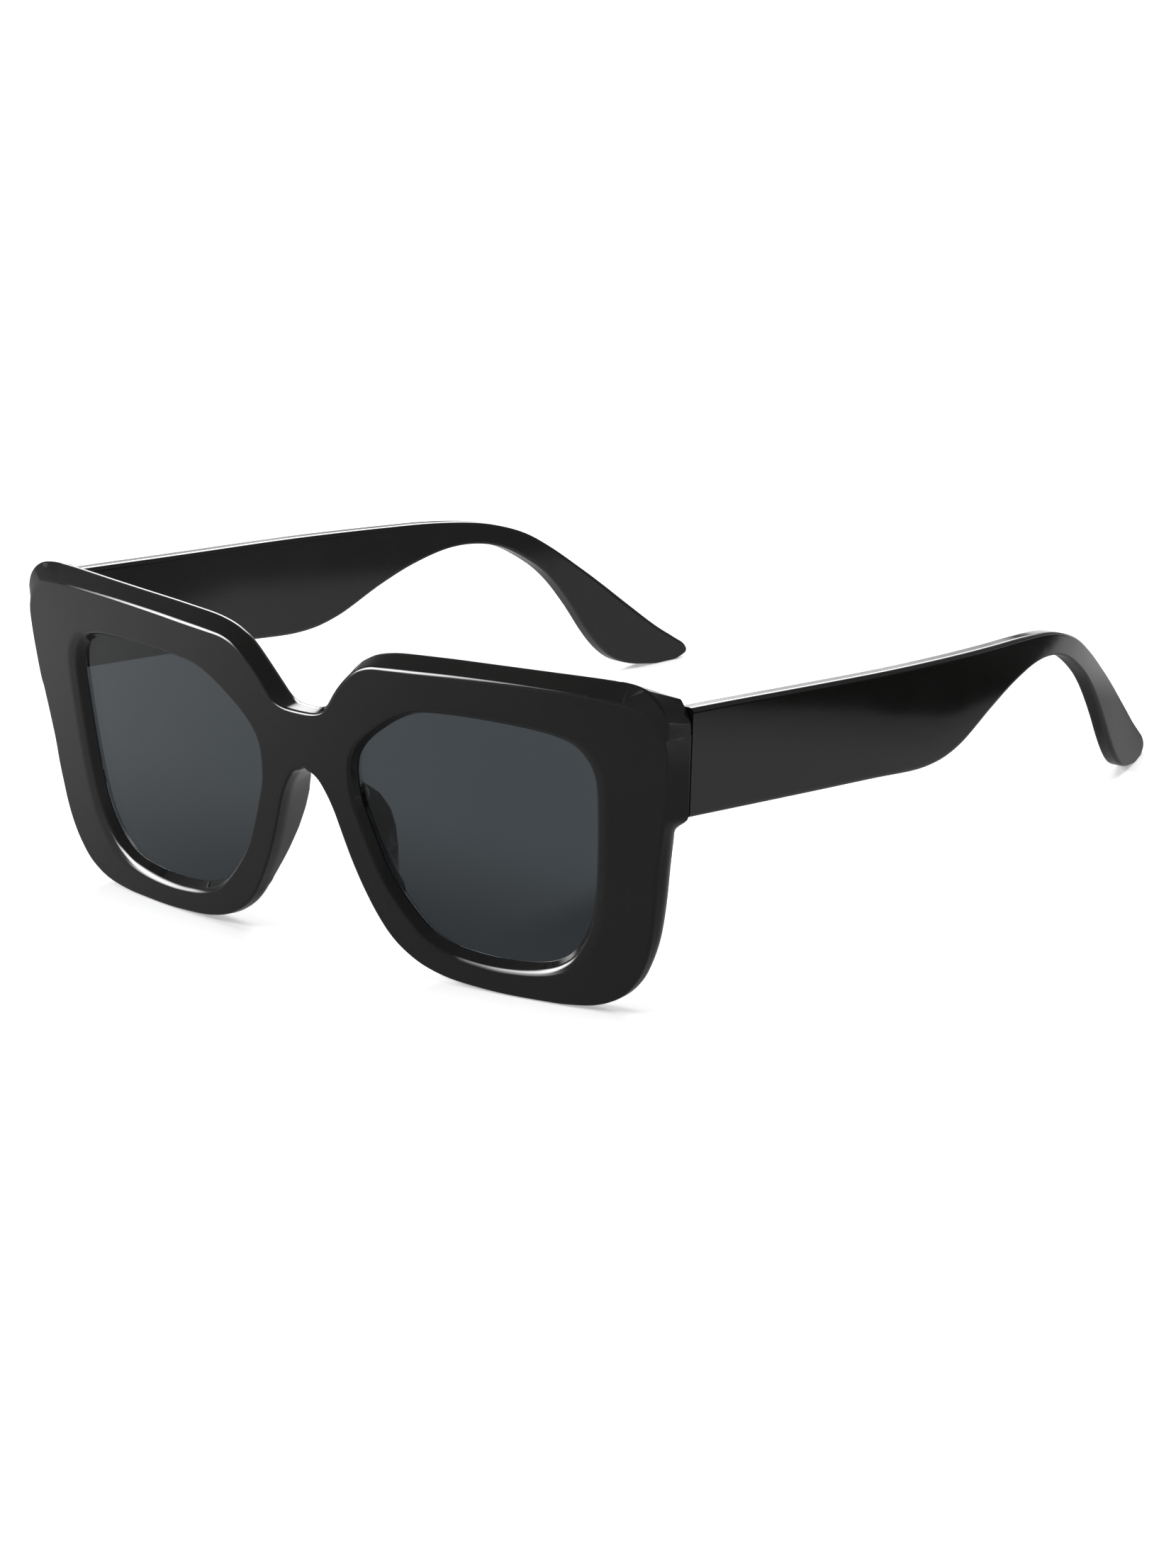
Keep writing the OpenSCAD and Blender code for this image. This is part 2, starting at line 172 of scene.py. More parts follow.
def loftPiece(name, rings, closed):
    # the first ring is a circle put in place, and every other ring is extruded from the last
    clearSelection()
    bpy.ops.mesh.primitive_circle_add(vertices=len(rings[0]), radius=0.01)
    piece = bpy.context.object
    piece.name = name
    for vertex, place in zip(piece.data.vertices, rings[0]):
        vertex.co = place
    places = {tuple(v.co): i for i, v in enumerate(piece.data.vertices)}
    bpy.ops.object.mode_set(mode="EDIT")
    bpy.ops.mesh.select_mode(type="EDGE")
    bpy.ops.mesh.select_all(action="SELECT")
    following = list(rings[1:]) + ([rings[0]] if closed else [])
    for ring in following:
        bpy.ops.mesh.extrude_region_move()
        mesh = bmesh.from_edit_mesh(piece.data)
        fresh = [v for v in mesh.verts if v.select]
        order = [places[tuple(v.co)] for v in fresh]
        for vertex, i in zip(fresh, order):
            vertex.co = ring[i]
        places = {tuple(v.co): i for v, i in zip(fresh, order)}
        bmesh.update_edit_mesh(piece.data)
    bpy.ops.mesh.select_mode(type="VERT")
    bpy.ops.mesh.select_all(action="SELECT")
    bpy.ops.mesh.remove_doubles(threshold=weldDistance)
    bpy.ops.object.mode_set(mode="OBJECT")
    return piece


def closeAndTurnOut(piece):
    pickOnly(piece)
    bpy.ops.object.mode_set(mode="EDIT")
    bpy.ops.mesh.select_all(action="DESELECT")
    bpy.ops.mesh.select_non_manifold()
    bpy.ops.mesh.fill_holes(sides=0)
    bpy.ops.mesh.select_all(action="SELECT")
    bpy.ops.mesh.normals_make_consistent(inside=False)
    bpy.ops.object.mode_set(mode="OBJECT")


def finishPiece(piece, body, material):
    pickOnly(piece)
    bpy.ops.object.shade_smooth_by_angle(angle=smoothAngle)
    piece.data.materials.clear()
    piece.data.materials.append(material)
    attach(piece, body)


# Small helpers for materials
def newGroup(name, inputs, outputs):
    group = bpy.data.node_groups.new(name, "ShaderNodeTree")
    for label, kind, value in inputs:
        socket = group.interface.new_socket(name=label, in_out="INPUT", socket_type=kind)
        if value is not None:
            socket.default_value = value
    for label in outputs:
        group.interface.new_socket(name=label, in_out="OUTPUT", socket_type="NodeSocketFloat")
    return group, group.nodes.new("NodeGroupInput"), group.nodes.new("NodeGroupOutput")


def addNode(tree, kind, values=None, **settings):
    node = tree.nodes.new(kind)
    for key, value in settings.items():
        setattr(node, key, value)
    for key, value in (values or {}).items():
        node.inputs[key].default_value = value
    return node


def linkUp(tree, *pairs):
    for source, target in pairs:
        tree.links.new(source, target)


def addRamp(tree, value, fromLow, fromHigh, toLow, toHigh):
    limits = {"From Min": fromLow, "From Max": fromHigh, "To Min": toLow, "To Max": toHigh}
    node = addNode(tree, "ShaderNodeMapRange", limits, interpolation_type="SMOOTHSTEP")
    tree.links.new(value, node.inputs["Value"])
    return node.outputs[0]


def mixedValue(tree, mask, low, high):
    node = addNode(tree, "ShaderNodeMapRange", {"To Min": low, "To Max": high})
    tree.links.new(mask, node.inputs["Value"])
    return node.outputs[0]


def mixedColor(tree, mask, low, high):
    node = addNode(tree, "ShaderNodeMix", {"A": (*low, 1), "B": (*high, 1)}, data_type="RGBA")
    tree.links.new(mask, node.inputs["Factor"])
    return node.outputs["Result"]


# Materials share three groups: faint wiping marks, a soft unevenness and brushing
def makeWipeMarks():
    # long thin hairlines left by a cloth, in two directions
    group, given, result = newGroup(
        "Wipe marks",
        [("Vector", "NodeSocketVector", None), ("Density", "NodeSocketFloat", 900.0),
         ("Amount", "NodeSocketFloat", 0.5)],
        ["Mask"])
    either = addNode(group, "ShaderNodeMath", operation="MAXIMUM")
    for i, (angle, stretch) in enumerate(((0.5, 0.05), (-0.9, 0.04))):
        mapping = addNode(group, "ShaderNodeMapping", {
            "Rotation": (0.3, angle, angle * 0.6), "Scale": (1, stretch, stretch * 1.4)})
        noise = addNode(group, "ShaderNodeTexNoise", {"Detail": 1})
        ramp = addNode(group, "ShaderNodeValToRGB")
        ramp.color_ramp.elements[0].position = 0.66
        ramp.color_ramp.elements[1].position = 0.74
        linkUp(group, (given.outputs["Vector"], mapping.inputs["Vector"]),
               (mapping.outputs[0], noise.inputs["Vector"]),
               (given.outputs["Density"], noise.inputs["Scale"]),
               (noise.outputs[0], ramp.inputs[0]), (ramp.outputs[0], either.inputs[i]))
    scaled = addNode(group, "ShaderNodeMath", operation="MULTIPLY")
    linkUp(group, (either.outputs[0], scaled.inputs[0]), (given.outputs["Amount"], scaled.inputs[1]),
           (scaled.outputs[0], result.inputs["Mask"]))
    return group


def makeSoftUnevenness():
    # broad, faint patches: handling film and the slight ripple of a polished moulding
    group, given, result = newGroup(
        "Soft unevenness",
        [("Vector", "NodeSocketVector", None), ("Patch scale", "NodeSocketFloat", 40.0),
         ("Grain scale", "NodeSocketFloat", 900.0)],
        ["Patches", "Ripple"])
    patches = addNode(group, "ShaderNodeTexNoise", {"Detail": 4, "Roughness": 0.55})
    grain = addNode(group, "ShaderNodeTexNoise", {"Detail": 2})
    for noise, scale, target in ((patches, "Patch scale", "Patches"), (grain, "Grain scale", "Ripple")):
        linkUp(group, (given.outputs["Vector"], noise.inputs["Vector"]),
               (given.outputs[scale], noise.inputs["Scale"]), (noise.outputs[0], result.inputs[target]))
    return group


def makeBrushing():
    # fine lines drawn out along one direction
    group, given, result = newGroup(
        "Brushing",
        [("Vector", "NodeSocketVector", None), ("Direction", "NodeSocketVector", (1.0, 1.0, 30.0)),
         ("Fineness", "NodeSocketFloat", 4000.0)],
        ["Lines"])
    stretched = addNode(group, "ShaderNodeVectorMath", operation="MULTIPLY")
    noise = addNode(group, "ShaderNodeTexNoise", {"Detail": 3})
    linkUp(group, (given.outputs["Vector"], stretched.inputs[0]),
           (given.outputs["Direction"], stretched.inputs[1]),
           (stretched.outputs[0], noise.inputs["Vector"]),
           (given.outputs["Fineness"], noise.inputs["Scale"]), (noise.outputs[0], result.inputs["Lines"]))
    return group


wipeMarks = makeWipeMarks()
softUnevenness = makeSoftUnevenness()
brushing = makeBrushing()


def startMaterial(name):
    material = bpy.data.materials.new(name)
    material.use_nodes = True
    tree = material.node_tree
    return material, tree, tree.nodes["Principled BSDF"], addNode(tree, "ShaderNodeTexCoord")


def placeGroup(tree, group, place, values):
    node = addNode(tree, "ShaderNodeGroup", values, node_tree=group)
    tree.links.new(place.outputs["Object"], node.inputs["Vector"])
    return node


def makeBlackPlastic():
    material, tree, shader, place = startMaterial("Polished black plastic")
    marks = placeGroup(tree, wipeMarks, place, {"Density": 700.0, "Amount": 0.6})
    uneven = placeGroup(tree, softUnevenness, place, {"Patch scale": 55.0, "Grain scale": 1500.0})
    patches = uneven.outputs["Patches"]
    color = mixedColor(tree, patches, (0.0045, 0.0046, 0.0043), (0.0085, 0.0088, 0.0082))
    film = mixedValue(tree, patches, 0.045, 0.13)
    # where a mark lies, this much is added to the film's roughness
    scratched = addNode(tree, "ShaderNodeMath", {1: 0.1}, operation="MULTIPLY_ADD")
    bump = addNode(tree, "ShaderNodeBump", {"Strength": 0.02, "Distance": 0.00004})
    linkUp(tree, (color, shader.inputs["Base Color"]), (marks.outputs["Mask"], scratched.inputs[0]),
           (film, scratched.inputs[2]), (scratched.outputs[0], shader.inputs["Roughness"]),
           (uneven.outputs["Ripple"], bump.inputs["Height"]), (bump.outputs[0], shader.inputs["Normal"]))
    shader.inputs["IOR"].default_value = 1.5
    return material


def makeSmokeLens():
    material, tree, shader, place = startMaterial("Smoke tinted lens")
    marks = placeGroup(tree, wipeMarks, place, {"Density": 500.0, "Amount": 0.5})
    uneven = placeGroup(tree, softUnevenness, place, {"Patch scale": 30.0, "Grain scale": 700.0})
    color = mixedColor(tree, uneven.outputs["Patches"], (0.070, 0.083, 0.093), (0.080, 0.094, 0.105))
    # roughness that a mark adds, and that of the clean lens
    rough = addNode(tree, "ShaderNodeMath", {1: 0.05, 2: 0.015}, operation="MULTIPLY_ADD")
    linkUp(tree, (color, shader.inputs["Base Color"]), (marks.outputs["Mask"], rough.inputs[0]),
           (rough.outputs[0], shader.inputs["Roughness"]))
    shader.inputs["Transmission Weight"].default_value = 1
    shader.inputs["IOR"].default_value = 1.45
    return material


def makeSteel(name, color, rough, direction):
    material, tree, shader, place = startMaterial(name)
    lines = placeGroup(tree, brushing, place, {"Direction": direction, "Fineness": 1800.0})
    uneven = placeGroup(tree, softUnevenness, place, {"Patch scale": 300.0, "Grain scale": 2500.0})
    tone = mixedColor(tree, uneven.outputs["Patches"], tuple(0.82 * c for c in color), color)
    gloss = mixedValue(tree, lines.outputs["Lines"], rough - 0.08, rough + 0.12)
    bump = addNode(tree, "ShaderNodeBump", {"Strength": 0.15, "Distance": 0.00002})
    linkUp(tree, (tone, shader.inputs["Base Color"]), (gloss, shader.inputs["Roughness"]),
           (lines.outputs["Lines"], bump.inputs["Height"]), (bump.outputs[0], shader.inputs["Normal"]))
    shader.inputs["Metallic"].default_value = 1
    return material


blackPlastic = makeBlackPlastic()
smokeLens = makeSmokeLens()
hingeSteel = makeSteel("Satin hinge steel", (0.55, 0.55, 0.56), 0.3, (1.0, 1.0, 30.0))
screwSteel = makeSteel("Turned screw steel", (0.62, 0.62, 0.63), 0.22, (30.0, 30.0, 1.0))
print("materials made")


# The tilted face where the front's returns meet the temples
joint = {"y": 12.4, "z": 43, "tilt": math.tan(math.radians(9)), "outerX": 74.2}


def jointFace(height):
    return joint["y"] + (height - joint["z"]) * joint["tilt"]


# Front: outlines in x and z of the wearer's left half, from the notch over the brow, down the
# side, along the rim bottom and up beside the nose
front = {
    "wrapRadius": 328, "thickness": 4, "centre": (36, 27), "stations": 390, "centreStations": 15,
    # left, bottom, width and height of the opening at its lip and at the lens
    "lip": (9.9, 3.7, 51.6, 43), "window": (10.7, 5.6, 47.9, 40), "lipDepth": 1.75,
    # the lip's hollow line, in shares of the lip's width and depth: where it lies on a narrow
    # lip, and what a wide one adds
    "lipWidths": (1.9, 2.7), "hollowAt": (0.38, 0.22), "hollowDepth": (0.19, 0.04),
    # behind the lens the opening widens, by so much at most and by a share of the room there
    "rearFlare": 2.0, "rearShare": 0.7, "flareStart": 2.1,
    # the brow: the heights from which the top and the notch reach up, and its end in x
    "topFrom": 40, "notchFrom": 37, "browEnd": (70.5, 73),
    # how far the back's outline lies inside the edge, on the brow and on the rim
    "browInset": 0.55, "rimInset": 0.9,
    # depth of the bevel's back edge in the notch and round the rim
    "notchBevel": 3.2, "rimBevel": 2.2,
    # crest and foot of the back, in shares of the way to the opening, and the lowest crest
    "crestAt": 0.4, "footAt": 0.75, "lowestCrest": 0.6,
    # the nose pad: how far out and up its stations may lie, its section, and its flare
    "padWithin": (30, 33), "padThickness": 2.1, "padFootGap": 0.25,
    "padFlare": math.tan(math.radians(15)), "flareFrom": 0.5, "bevelFlare": 0.8,
    # depths of the pad over which the inset ends and the flare and the pad's section set in, and
    # the distances from the middle over which the flare does
    "insetEnd": (2, 4), "flareIn": (1.5, 5), "sectionIn": (4.0, 5.2), "besideMiddle": (0.8, 5),
    # the return: where it starts in x and fades out in z, its inner edge, and its flat side
    "returnFrom": 60, "returnFade": (30.6, 33.8), "returnTop": 50, "returnX": 64.4, "returnBlend": 0.9,
    "returnCrest": 0.4, "returnFoot": 0.5, "innerShare": 0.93, "innerSpan": (33.6, 51.4),
    "sideTop": 46.5, "flatTop": 49.6, "flatBlend": 3.4, "flatShare": 0.12,
    "edgeRound": 0.5, "backRound": 0.7, "lipRound": 0.5, "bevelRound": 0.8,
    "pocket": {"x": (62.1, 70.94), "y": (10.1, 20), "z": (38.85, 48.3)},
}
ridgePoints = [
    (0, 41.8), (3.2, 41.9), (4.8, 42.3), (5.9, 42.9), (6.9, 44), (8.7, 46.4), (10.4, 48.2), (12.2, 49.7),
    (13.8, 50.8), (15.4, 51.5), (17.4, 51.95), (20, 52.1), (26, 52.4), (35, 52.85), (45, 53.05),
    (52, 52.95), (57, 52.8), (62, 52.45), (66.2, 51.75), (68.6, 50.95), (70, 50.15), (71.1, 49.2),
    (71.9, 48.2), (72.5, 47.1), (72.85, 45.8), (72.9, 44.2), (72.6, 40.6), (71.9, 35.9), (71.2, 32.3),
    (70.5, 29.3), (69.75, 26), (69.1, 22.7), (68.7, 19.1), (68, 15.5), (67.3, 12.3), (66.1, 9),
    (64.3, 6), (61.3, 3), (56.6, 1), (51, 0.3), (47, 0.2), (39.6, 0.2), (34, 0.45), (28, 1), (23, 2.2),
    (19.2, 4), (16.2, 6.3), (13.5, 9.65), (11.1, 13.7), (9, 18.1), (7.3, 22.45), (5.9, 26.1),
    (4.3, 29), (2.5, 31.15), (0, 31.95),
]
edgePoints = [
    (0, 42.1), (2.9, 42.3), (4.6, 43.2), (6, 44.7), (8.2, 47.1), (10, 49), (11.5, 50.5), (13, 51.7),
    (14.5, 52.5), (16.3, 53.3), (18.7, 53.9), (22, 54.35), (29, 54.7), (35, 54.88), (45, 55), (57, 55),
    (62, 54.95), (66, 54.85), (68.1, 54.62), (69.3, 54.25), (70.4, 53.65), (71.3, 52.9), (72, 52.1),
    (72.55, 51.2), (72.9, 50.3), (73.1, 49.4), (73.25, 48.2), (73.3, 46.5), (73.2, 43.5), (72.7, 38),
    (71.6, 33), (70.8, 28.8), (69.95, 24.6), (69.15, 20.2), (68.25, 16), (67.2, 12.2), (65.7, 8.6),
    (63.8, 5.4), (60.9, 2.8), (56.4, 0.9), (51, 0.1), (47, 0), (39.6, 0), (34, 0.24), (28, 0.8),
    (22.8, 1.9), (19, 3.7), (15.9, 6.1), (13.2, 9.5), (10.8, 13.6), (8.75, 18), (7.05, 22.3),
    (5.65, 25.9), (4.1, 28.8), (2.4, 30.9), (0, 31.7),
]
# Lens opening at its front lip, in shares of a box, from beside the nose over the top
openingShares = [
    (0, 0.646), (0.003, 0.711), (0.024, 0.771), (0.072, 0.834), (0.139, 0.892), (0.211, 0.943),
    (0.298, 0.983), (0.417, 0.997), (0.557, 1), (0.716, 0.994), (0.839, 0.98), (0.922, 0.952),
    (0.972, 0.906), (0.996, 0.843), (1, 0.773), (0.994, 0.657), (0.984, 0.53), (0.972, 0.413),
    (0.956, 0.307), (0.932, 0.211), (0.895, 0.135), (0.845, 0.07), (0.775, 0.028), (0.676, 0.007),
    (0.557, 0), (0.457, 0.006), (0.362, 0.023), (0.278, 0.063), (0.215, 0.123), (0.155, 0.2),
    (0.103, 0.286), (0.065, 0.383), (0.034, 0.476), (0.008, 0.564),
]
# Reach of a nose pad behind the front face, at heights from its lower end up
padProfile = [
    (6.9, 0), (7.7, 2.8), (10.4, 4.65), (14, 6.5), (17.6, 8.1), (21.2, 9.1), (24.2, 9.3), (27, 8.65),
    (29.4, 7.1), (31.3, 4.65), (32.2, 2.8), (32.6, 0),
]
# Depth of the bevel's back edge along x, where it comes forward to the ridge at the corner
cornerBevel = [
    (60, 2.9), (64, 2.7), (66, 2.4), (68.1, 1.75), (69.3, 1.3), (70.4, 0.95), (71.3, 0.75), (72, 0.6),
    (72.9, 0.5),
]
# The return's end has a flat top, two facets and a flat side: points of the edge, each with its
# point of the end
returnPairs = [
    ((63.5, 54.9), (63.5, 52.2)), ((69.3, 54.25), (71.8, 51.8)), ((71.3, 52.9), (72.9, 50.4)),
    ((73.1, 49.4), (74.1, 48.4)), ((73.3, 46.5), (74.2, 46.5)),
]
# Share of the way round the top corner, and x and z of the return's inner edge there
innerCorner = [(0, 63.4, 51.6), (0.3, 64.2, 51.2), (0.6, 64.7, 50), (1, 64.8, 46.2)]


def wrapped(points):
    # x, z and depth behind the curved front surface, to the model's own place in metres
    x, z, depth = points[:, 0], points[:, 1], points[:, 2]
    radius = front["wrapRadius"]
    y = radius - np.sqrt((radius - depth) ** 2 - x ** 2)
    return np.stack([x, y + backShift, z], axis=1) * mm


def depthAt(x, y):
    radius = front["wrapRadius"]
    return radius - np.sqrt((radius - y) ** 2 + x ** 2)


def withDepth(points, depth):
    return np.column_stack([points, np.broadcast_to(np.asarray(depth, float), len(points))])


def openingLine(left, bottom, width, height):
    points = [(left + s * width, bottom + t * height) for s, t in openingShares]
    line = evenly(smoothThrough(points + points[:1]))
    return softened(line[:-1], 6)


def halfOutline(points):
    # the mirror goes on past both ends, which lie on the middle line
    line = softened(evenly(smoothThrough(points)), 5, np.array([-1, 1]))
    line[0, 0] = line[-1, 0] = 0
    line[:, 1] = np.maximum(line[:, 1], 0)
    return line


lipLine, windowLine = openingLine(*front["lip"]), openingLine(*front["window"])
ridgeLine, edgeLine = halfOutline(ridgePoints), halfOutline(edgePoints)


def angleOf(line):
    cx, cz = front["centre"]
    return np.unwrap(np.arctan2(line[:, 1] - cz, line[:, 0] - cx))


def shareOf(line):
    angle = angleOf(line)
    share = (angle[0] - angle) / (angle[0] - angle[-1])
    return np.maximum.accumulate(share) + np.linspace(0, 1e-7, len(line))


def alongOutline(line, shares):
    share = shareOf(line)
    return np.stack([np.interp(shares, share, line[:, i]) for i in range(2)], axis=1)


def alongLoop(line, angles):
    own = angleOf(line)
    turned = (own[0] - angles) % (2 * math.pi)
    share = np.append(np.maximum.accumulate(own[0] - own), 2 * math.pi)
    closed = np.vstack([line, line[:1]])
    return np.stack([np.interp(turned, share, closed[:, i]) for i in range(2)], axis=1)


# Stations round the opening, closer together where the outline turns and at the top corner
fineSteps, turnWeight, cornerWeight, cornerFrom = 6000, 2.5, 2.2, (65, 46)
nOutline, nCentre = front["stations"], front["centreStations"]
fine = np.linspace(0, 1, fineSteps)
ridgeAngle = angleOf(ridgeLine)
startAngle, endAngle = ridgeAngle[0], ridgeAngle[-1]
outer = alongOutline(edgeLine, fine)
inner = alongLoop(windowLine, startAngle - fine * (startAngle - endAngle))
outerRun, innerRun = np.diff(outer, axis=0), np.diff(inner, axis=0)
heading = np.unwrap(np.arctan2(outerRun[:, 1], outerRun[:, 0]))
weight = (np.linalg.norm(outerRun, axis=1) + np.linalg.norm(innerRun, axis=1)) / 2
weight[1:] += turnWeight * np.abs(np.diff(heading))
weight[(outer[1:] > cornerFrom).all(axis=1)] *= cornerWeight
along = np.concatenate([[0], np.cumsum(weight)])
outlineShares = np.interp(np.linspace(0, along[-1], nOutline), along, fine)
centreShares = 0.5 - 0.5 * np.cos(np.linspace(0, 1, nCentre + 2)[1:-1] * math.pi)
stationAngles = np.concatenate([
    startAngle - outlineShares * (startAngle - endAngle),
    endAngle + (startAngle - 2 * math.pi - endAngle) * centreShares])


def outlineStations(line):
    # outline points, then the points up the middle line that the mirror closes
    points = alongOutline(line, outlineShares)
    margin = 1.3 * front["edgeRound"]
    low, high = line[-1, 1] + margin, line[0, 1] - margin
    up = low + (high - low) * (centreShares - centreShares[0]) / (centreShares[-1] - centreShares[0])
    return np.vstack([points, np.stack([np.zeros(nCentre), up], axis=1)])


thickness = front["thickness"]
ridge, edge = outlineStations(ridgeLine), outlineStations(edgeLine)
x, z = edge[:, 0], edge[:, 1]
onCentre = np.arange(len(edge)) >= nOutline
onTop = (z > front["topFrom"]) & ~onCentre
# how much each station belongs to the brow, the return, the return's flat side and the nose pad
browShare = np.where(onTop, 1 - smoothStep(x, *front["browEnd"]), 0)
returnStart = smoothStep(x, front["returnX"] - front["returnBlend"], front["returnX"])
overReturn = np.where(z > front["returnTop"], returnStart, 1)
returnShare = np.where((x > front["returnFrom"]) & ~onCentre,
                       overReturn * smoothStep(z, *front["returnFade"]), 0)
sideShare = np.where(z < front["sideTop"], returnShare, 0)
besideNose = (edge < front["padWithin"]).all(axis=1) & ~onCentre
padDepth = np.where(besideNose, np.interp(z, *np.array(padProfile).T), 0)
padShare = smoothStep(padDepth, *front["sectionIn"])

# outline of the back, which stands out to the temple's face on the return's side
rimShare = (1 - browShare) * (1 - returnShare) * (1 - smoothStep(padDepth, *front["insetEnd"]))
insets = front["browInset"] * browShare + front["rimInset"] * rimShare
insets[onCentre] = front["browInset"]
insetLine = np.interp(shareOf(edgeLine), outlineShares, insets[:nOutline])
backEdge = outlineStations(offsetInward(edgeLine, insetLine))
backEdge[0, 0] = backEdge[nOutline - 1, 0] = 0
backEdge[:, 0] += (joint["outerX"] - backEdge[:, 0]) * sideShare

# the return's end
outline = edge[:nOutline]
runAlong = np.concatenate([[0], np.cumsum(np.linalg.norm(np.diff(outline, axis=0), axis=1))])
keyRun = [runAlong[np.argmin(np.linalg.norm(outline - key, axis=1))] for key, _ in returnPairs]
returnEnd = np.stack([np.interp(runAlong, keyRun, [end[i] for _, end in returnPairs])
                      for i in range(2)], axis=1)
returnEnd[1:-1] = 0.25 * returnEnd[:-2] + 0.5 * returnEnd[1:-1] + 0.25 * returnEnd[2:]
onCorner = np.flatnonzero((runAlong > keyRun[0]) & (runAlong < keyRun[-1]))
backEdge[onCorner] += (returnEnd[onCorner] - backEdge[onCorner]) * returnShare[onCorner][:, None]
jointY = jointFace(backEdge[:, 1])
backDepth = thickness + (depthAt(backEdge[:, 0], jointY) - thickness) * returnShare
backDepth += np.maximum(padDepth - thickness, 0) * (returnShare == 0)
flareShare = smoothStep(x, *front["besideMiddle"]) * smoothStep(padDepth, *front["flareIn"])
flare = front["padFlare"] * flareShare
backEdge[:, 0] += np.maximum(backDepth - front["flareFrom"], 0) * flare * (padDepth > 0)

# the opening's lip slopes to a hollow line and then to the lens
lip = alongLoop(lipLine, stationAngles)
window = alongLoop(windowLine, stationAngles)
lipWidth = lengths(window - lip)
lipInward = (window - lip) / lipWidth
wideLip = smoothStep(lipWidth, *front["lipWidths"])
hollowAt = front["hollowAt"][0] + front["hollowAt"][1] * wideLip
hollowDepth = front["hollowDepth"][0] + front["hollowDepth"][1] * wideLip[:, 0]
lipMiddle = lip + lipInward * lipWidth * hollowAt
lipMiddleDepth = front["lipDepth"] * hollowDepth

# the bevel's back edge; a return's side is flat and has none
sideDepth = np.where(onTop, np.interp(x, *np.array(cornerBevel).T), front["rimBevel"])
sideDepth = np.where((z > front["topFrom"]) & onCentre, front["notchBevel"], sideDepth)
blurTurns, blurWidth = 4, 13
for _ in range(blurTurns):
    blurred = np.convolve(sideDepth[:nOutline], np.ones(blurWidth) / blurWidth, "valid")
    sideDepth[blurWidth // 2:nOutline - blurWidth // 2] = blurred
sideEdge = edge.copy()
sideEdge[:, 0] += sideDepth * flare * front["bevelFlare"]
flatSide = smoothStep(front["flatTop"] - z, 0, front["flatBlend"]) * returnShare
onFlat = ridge + (backEdge - ridge) * front["flatShare"]
sideEdge += (onFlat - sideEdge) * flatSide[:, None]
sideDepth += (backDepth * front["flatShare"] - sideDepth) * flatSide

# across the back: the crest of the back edge and its foot beside the opening
toWindow = window - backEdge
padInward = toWindow / lengths(toWindow)
plainCrest, plainFoot = backEdge + toWindow * front["crestAt"], backEdge + toWindow * front["footAt"]
padCrest = backEdge + padInward * front["padThickness"]
padFoot = window - padInward * front["padFootGap"]
# the return's inner edge is spread out round the top corner
innerHeight = np.clip(joint["z"] + (z - joint["z"]) * front["innerShare"], *front["innerSpan"])
returnCrest = np.stack([np.full(len(x), front["returnX"] + front["returnCrest"]), innerHeight], axis=1)
cornerShare, cornerX, cornerZ = np.array(innerCorner).T
spread = keyRun[0] + cornerShare * (keyRun[-1] - keyRun[0])
returnCrest[onCorner] = np.stack([np.interp(runAlong[onCorner], spread, cornerX),
                                  np.interp(runAlong[onCorner], spread, cornerZ)], axis=1)
returnFoot = returnCrest - [front["returnFoot"], 0]
onPad, onReturn = padShare[:, None], returnShare[:, None]
crest = plainCrest + (padCrest - plainCrest) * onPad + (returnCrest - plainCrest) * onReturn
foot = plainFoot + (padFoot - plainFoot) * onPad + (returnFoot - plainFoot) * onReturn
crestDepth = thickness + (backDepth - thickness) * padShare
crestDepth += (depthAt(crest[:, 0], jointY) - thickness) * returnShare
crest[:, 1] = np.maximum(crest[:, 1], front["lowestCrest"])

# the section's corners, from behind the lens over the lip, the face, the bevel and the back
faceStops = (0.2, 0.5, 0.8)
rearRoom = np.minimum(front["rearFlare"], front["rearShare"] * lengths(foot - window))
corners = [withDepth(window - lipInward * rearRoom, thickness), withDepth(window, front["flareStart"]),
           withDepth(window, front["lipDepth"]), withDepth(lipMiddle, lipMiddleDepth), withDepth(lip, 0)]
corners += [withDepth(lip + (ridge - lip) * stop, 0) for stop in faceStops]
nRidge, nSide = len(corners), len(corners) + 1
sideCorner, backCorner = withDepth(sideEdge, sideDepth), withDepth(backEdge, backDepth)
corners += [withDepth(ridge, 0), sideCorner]
# plain stops along the side, spread out from its middle on a return and close together elsewhere
sideOffsets, closeShare = (-0.35, -0.15, 0.1, 0.3), 0.15
for offset in sideOffsets:
    stop = 0.5 + offset * np.maximum(onReturn, closeShare)
    corners.append(sideCorner + (backCorner - sideCorner) * stop)
nBack = len(corners)
corners += [backCorner, withDepth(crest, crestDepth), withDepth(foot, thickness)]
live = np.where(onCentre, 0.0, 1.0)
plain = (0, 0)
# radius and steps of the rounding at each corner
roundings = [
    (0.3, 2), (0.12, 1), (0.1, 1), (0.45, 4), (front["lipRound"], 4), plain, plain, plain,
    (front["edgeRound"] * live, 4), ((front["bevelRound"] - 0.4 * returnShare) * live, 4),
    plain, plain, plain, plain,
    ((front["backRound"] - 0.35 * returnShare) * live, 4), (0.9 * padShare + 0.25, 3), (0.3, 2),
]
radii, steps = zip(*roundings)
